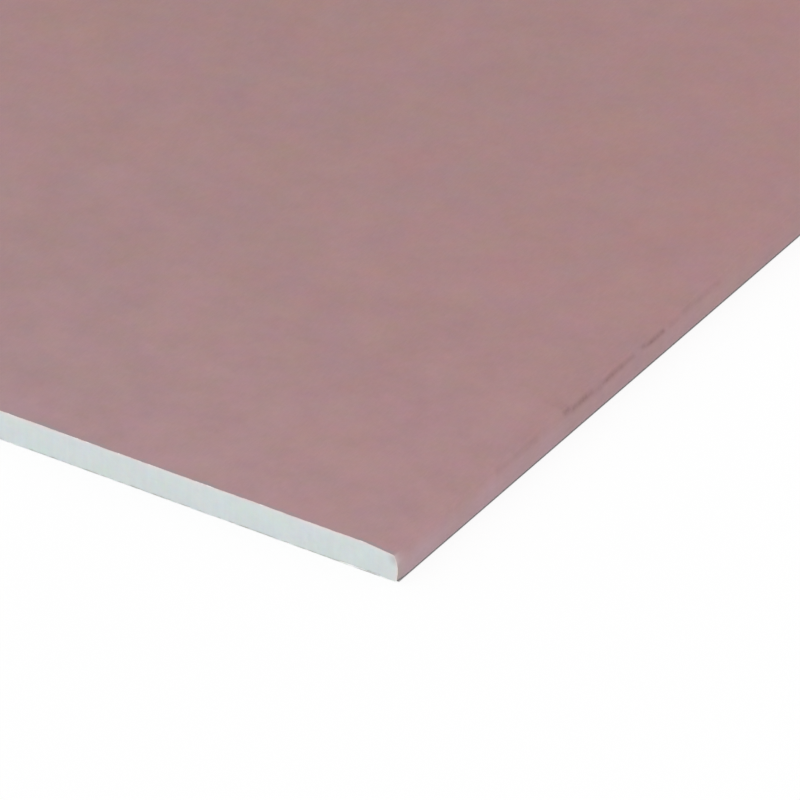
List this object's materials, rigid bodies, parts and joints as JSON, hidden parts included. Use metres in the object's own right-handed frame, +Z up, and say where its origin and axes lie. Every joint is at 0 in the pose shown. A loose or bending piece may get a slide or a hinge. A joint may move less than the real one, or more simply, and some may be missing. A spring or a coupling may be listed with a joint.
{
  "type": "drywall sheet",
  "caption": "Flat rectangular gypsum board with pink face paper wrapped round its softly bevelled long edges and square-cut ends that show the core, for lining walls and ceilings.",
  "frame": {"origin": "centre of the back face, on the surface that the sheet lies on", "axes": "+X across the sheet between its two wrapped edges, +Y along its length between the cut ends, +Z up through its thickness, out of the pink face"},
  "size_m": [1.2, 2.4, 0.0125],
  "materials": {
    "gypsum": "matte",
    "face_paper": "matte",
    "back_paper": "matte"
  },
  "bodies": {
    "root": {"gypsum_core": "gypsum", "face_paper": "face_paper", "back_paper": "back_paper"}
  },
  "joints": []
}
